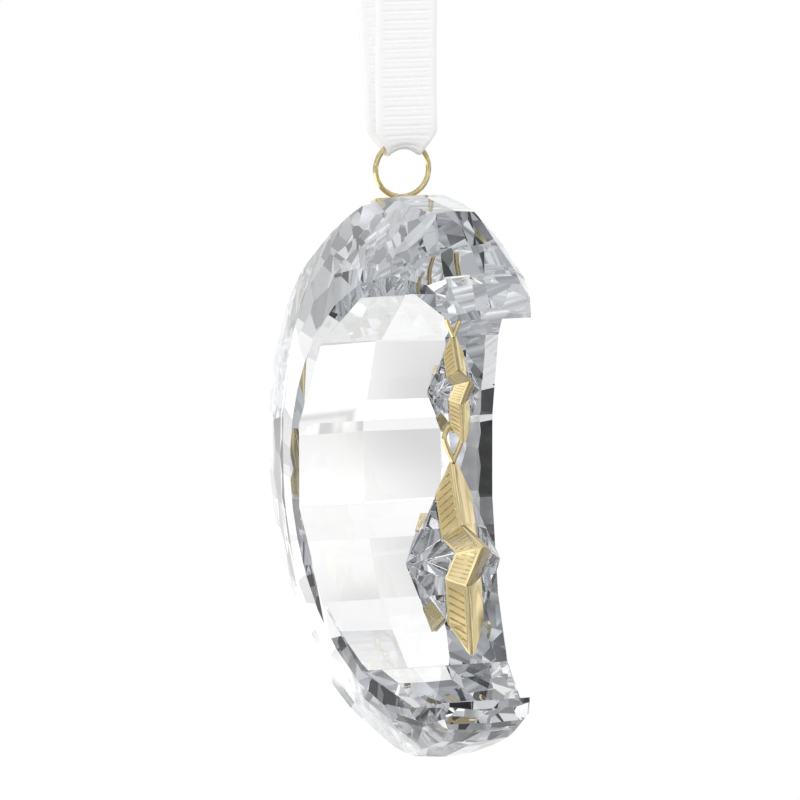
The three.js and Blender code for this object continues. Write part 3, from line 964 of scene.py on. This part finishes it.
def make_camera():
    camera = bpy.data.objects.new("camera", bpy.data.cameras.new("camera"))
    bpy.context.scene.collection.objects.link(camera)
    camera.data.lens = VIEW_LENS
    camera.data.clip_start, camera.data.clip_end = VIEW_CLIP
    camera.data.shift_x, camera.data.shift_y = VIEW_SHIFT
    a, e = VIEW_AZIMUTH, VIEW_ELEVATION
    back = Vector((math.sin(a) * math.cos(e), -math.cos(a) * math.cos(e), math.sin(e)))
    camera.location = MOON_CENTRE + back * VIEW_DISTANCE
    camera.rotation_mode = "QUATERNION"
    camera.rotation_quaternion = (-back).to_track_quat("-Z", "Y")
    bpy.context.scene.camera = camera


def view_front():
    """The level direction from the ornament to the camera."""
    return Vector((math.sin(VIEW_AZIMUTH), -math.cos(VIEW_AZIMUTH), 0))


def view_aside():
    """The level direction to the camera's right."""
    front = view_front()
    return Vector((-front.y, front.x, 0))


def add_slope(nodes, links, place, axis, stops):
    """Shades by how far a place or direction lies along an axis, from -1 to 1."""
    dot = nodes.new("ShaderNodeVectorMath")
    dot.operation = "DOT_PRODUCT"
    dot.inputs[1].default_value = axis
    links.new(place, dot.inputs[0])
    share = add_range(nodes, links, dot.outputs["Value"], low=0, high=1, start=-1)
    return add_ramp(nodes, links, share, [((at + 1) / 2, shade) for at, shade in stops])


def add_patches(nodes, links, place, scale, shades, squash=1):
    """Soft patches in some shades. With a squash over 1 they are wider than high."""
    mapping = nodes.new("ShaderNodeMapping")
    mapping.inputs["Scale"].default_value = (1, 1, squash)
    links.new(place, mapping.inputs["Vector"])
    noise = add_noise(nodes, links, mapping.outputs["Vector"], scale, roughness=0.6)
    return add_ramp(nodes, links, noise, shades)


def add_lines(nodes, links, place, scale):
    """Fine light and dark lines in patches, as the edges of many small facets give."""
    mapping = nodes.new("ShaderNodeMapping")
    mapping.inputs["Scale"].default_value = Vector((LINE_FINE, LINE_LONG, LINE_FINE)) * scale
    links.new(place, mapping.inputs["Vector"])
    noise = add_noise(nodes, links, mapping.outputs["Vector"], scale=1, detail=1)
    lines = add_ramp(nodes, links, noise, LINE_SHADES)
    where = add_patches(nodes, links, place, LINE_PATCH_SCALE * scale, LINE_PATCHES)
    return add_mix(nodes, links, where, WHITE, lines)


def shade_by(nodes, links, colour, *layers):
    """A colour multiplied by each of the layers."""
    for layer in layers:
        colour = add_mix(nodes, links, 1, colour, layer, "MULTIPLY")
    return colour


def light_paths(nodes, links):
    """How a ray came, each as a share from 0 to 1.

    camera: straight from the camera. seen: from it, or by way of gold or crystal. glint: turned
    back by gold or a facet. within: through crystal. inside: both of these. turned: turned back
    inside the crystal, in part by one turn and in full by two.
    """
    path = nodes.new("ShaderNodeLightPath").outputs
    camera = path["Is Camera Ray"]
    glossy = add_math(nodes, links, "MAXIMUM", camera, path["Is Glossy Ray"])
    glint = add_math(nodes, links, "MINIMUM", path["Glossy Depth"], 1)
    within = add_math(nodes, links, "MINIMUM", path["Transmission Depth"], 1)
    part = add_math(nodes, links, "MULTIPLY", path["Glossy Depth"], ONE_TURN)
    turned = add_math(nodes, links, "MINIMUM", part, 1)
    return {
        "camera": camera,
        "seen": add_math(nodes, links, "MAXIMUM", glossy, path["Is Transmission Ray"]),
        "glint": glint,
        "within": within,
        "inside": add_math(nodes, links, "MULTIPLY", glint, within),
        "turned": add_math(nodes, links, "MULTIPLY", turned, within),
    }


def floor_fade(nodes, links, distance, reach, share):
    """A share that fades away between two distances from the hanging point."""
    start, end = reach
    return add_range(nodes, links, distance, share, 0, start, end, interpolation="SMOOTHSTEP")


def floor_shades(nodes, links, path, place, distance):
    """What gold and crystal see of the floor, as painted light and shade in its glow: white, its
    patches, or the floor of the room.
    """
    # Painted shade: patches of glow near the ornament, seen only by light through the crystal
    patches = add_patches(nodes, links, place, PATCH_SCALE, FLOOR_PATCHES)
    patches = shade_by(nodes, links, patches, FLOOR_TINT)
    near = floor_fade(nodes, links, distance, PATCH_REACH, 1)
    through = add_math(nodes, links, "MULTIPLY", path["within"], near)
    shades = add_mix(nodes, links, through, WHITE, patches)

    # Painted light and shade for the gold: the floor glows in patches, brighter towards the
    # camera's left
    under = add_patches(nodes, links, place, GOLD_PATCH_SCALE, GOLD_PATCHES)
    side = add_slope(nodes, links, place, view_aside() / FLOOR_SPAN, GOLD_SIDE)
    under = shade_by(nodes, links, under, side)
    off_gold = add_math(nodes, links, "SUBTRACT", path["glint"], path["inside"])
    shades = add_mix(nodes, links, off_gold, shades, under)

    # Painted shade: the room's floor, with its lines, as light turned back inside the crystal sees
    # it
    room = add_slope(nodes, links, place, view_front() / FLOOR_SPAN, ROOM_FLOOR)
    room = shade_by(nodes, links, room, add_lines(nodes, links, place, 1 / FLOOR_SPAN))
    return add_mix(nodes, links, path["turned"], shades, room)


def floor_material():
    """Pale and lit by the lamp, but white to the camera apart from the ornament's shadow. To gold
    and crystal it glows with painted light and shade instead.
    """
    material, nodes, links, shader = new_material("Pale floor")
    shader.inputs["Base Color"].default_value = FLOOR_COLOUR
    shader.inputs["Roughness"].default_value = 0.8
    path = light_paths(nodes, links)
    place = nodes.new("ShaderNodeTexCoord").outputs["Object"]
    away = nodes.new("ShaderNodeVectorMath")
    away.operation = "LENGTH"
    links.new(place, away.inputs[0])
    distance = away.outputs["Value"]
    white = nodes.new("ShaderNodeEmission")
    links.new(floor_shades(nodes, links, path, place, distance), white.inputs["Color"])
    near = floor_fade(nodes, links, distance, SHADOW_REACH, SHADOW_SHARE)
    lit = add_math(nodes, links, "MULTIPLY", path["camera"], near)
    mix_surface(nodes, links, add_math(nodes, links, "SUBTRACT", path["seen"], lit), shader, white)
    return material


def make_floor():
    bm = bmesh.new()
    bmesh.ops.create_circle(bm, cap_ends=True, segments=96, radius=FLOOR_RADIUS)
    bmesh.ops.translate(bm, vec=(0, 0, FLOOR_Z), verts=bm.verts)
    mesh = bpy.data.meshes.new("floor")
    bm.to_mesh(mesh)
    bm.free()
    mesh.materials.append(floor_material())
    floor = bpy.data.objects.new("floor", mesh)
    bpy.context.scene.collection.objects.link(floor)


def make_world():
    """A white studio. Light that the crystal turns comes from its grey room and panels."""
    world = bpy.data.worlds.new("studio")
    bpy.context.scene.world = world
    world.use_nodes = True
    nodes, links = world.node_tree.nodes, world.node_tree.links
    background = nodes["Background"]
    place = nodes.new("ShaderNodeTexCoord").outputs["Generated"]
    front = view_front()
    path = light_paths(nodes, links)

    panels = add_patches(nodes, links, place, PANEL_SCALE, ROOM_PANELS, PANEL_SQUASH)
    begin = add_slope(nodes, links, place, front, PANELS_BEGIN)
    panels = add_mix(nodes, links, begin, WHITE, panels)
    room = add_slope(nodes, links, place, front, ROOM_DEPTH)
    height = add_slope(nodes, links, place, Vector((0, 0, 1)), ROOM_HEIGHT)
    room = shade_by(nodes, links, room, panels, height, add_lines(nodes, links, place, 1))

    folds = add_patches(nodes, links, place, FOLD_SCALE, BACKDROP_FOLDS, FOLD_SQUASH)
    gold = add_mix(nodes, links, path["glint"], WHITE, panels)
    bright = add_mix(nodes, links, path["glint"], WHITE, GOLD_LIGHT)
    backdrop = add_slope(nodes, links, place, front, BACKDROP)
    backdrop = shade_by(nodes, links, backdrop, folds, gold, bright)

    studio = add_mix(nodes, links, path["turned"], backdrop, room)
    side = add_slope(nodes, links, place, view_aside(), ROOM_SIDE)
    studio = shade_by(nodes, links, studio, add_mix(nodes, links, path["inside"], WHITE, side))
    studio = add_mix(nodes, links, path["seen"], STUDIO_LIGHT, studio)
    links.new(add_mix(nodes, links, path["camera"], studio, WHITE), background.inputs["Color"])
    background.inputs["Strength"].default_value = 1


def make_lamps():
    lamp = bpy.data.lights.new("key", "AREA")
    lamp.energy = KEY_POWER
    lamp.size = KEY_SIZE
    key = bpy.data.objects.new("key", lamp)
    key.location = KEY_PLACE
    key.rotation_mode = "QUATERNION"
    key.rotation_quaternion = (MOON_CENTRE - key.location).to_track_quat("-Z", "Y")
    key.visible_transmission = False
    key.visible_glossy = False
    bpy.context.scene.collection.objects.link(key)


class ORNAMENT_OT_stage(bpy.types.Operator):
    """Makes the camera, the pale floor, the studio world and the lamp"""

    bl_idname = "ornament.stage"
    bl_label = "Stage"

    def execute(self, context):
        make_camera()
        make_floor()
        make_world()
        make_lamps()
        context.scene.view_settings.view_transform = "Standard"
        return {"FINISHED"}


class ORNAMENT_PT_panel(bpy.types.Panel):
    bl_label = "Moon ornament"
    bl_idname = "ORNAMENT_PT_panel"
    bl_space_type = "VIEW_3D"
    bl_region_type = "UI"
    bl_category = "Ornament"

    def draw(self, context):
        for operator in OPERATORS:
            self.layout.operator(operator.bl_idname)
        for name in SETTINGS:
            box = self.layout.box()
            group = settings(name)
            for field in group.bl_rna.properties:
                if field.identifier not in ("rna_type", "name"):
                    box.prop(group, field.identifier)


OPERATORS = (
    ORNAMENT_OT_stage,
    ORNAMENT_OT_ribbon,
    ORNAMENT_OT_hanger,
    ORNAMENT_OT_star_frames,
    ORNAMENT_OT_crystal,
)
SETTINGS = {
    "ribbon": RibbonSettings,
    "gold": GoldSettings,
    "star": StarSettings,
    "crystal": CrystalSettings,
}


def register():
    for cls in (*SETTINGS.values(), *OPERATORS, ORNAMENT_PT_panel):
        bpy.utils.register_class(cls)
    for name, cls in SETTINGS.items():
        pointer = bpy.props.PointerProperty(type=cls)
        setattr(bpy.types.Scene, "ornament_" + name, pointer)


def unregister():
    for name in SETTINGS:
        delattr(bpy.types.Scene, "ornament_" + name)
    for cls in (ORNAMENT_PT_panel, *reversed(OPERATORS), *SETTINGS.values()):
        bpy.utils.unregister_class(cls)


def main():
    register()
    for operator in OPERATORS:
        group, call = operator.bl_idname.split(".")
        getattr(getattr(bpy.ops, group), call)()


if __name__ == "__main__":
    main()
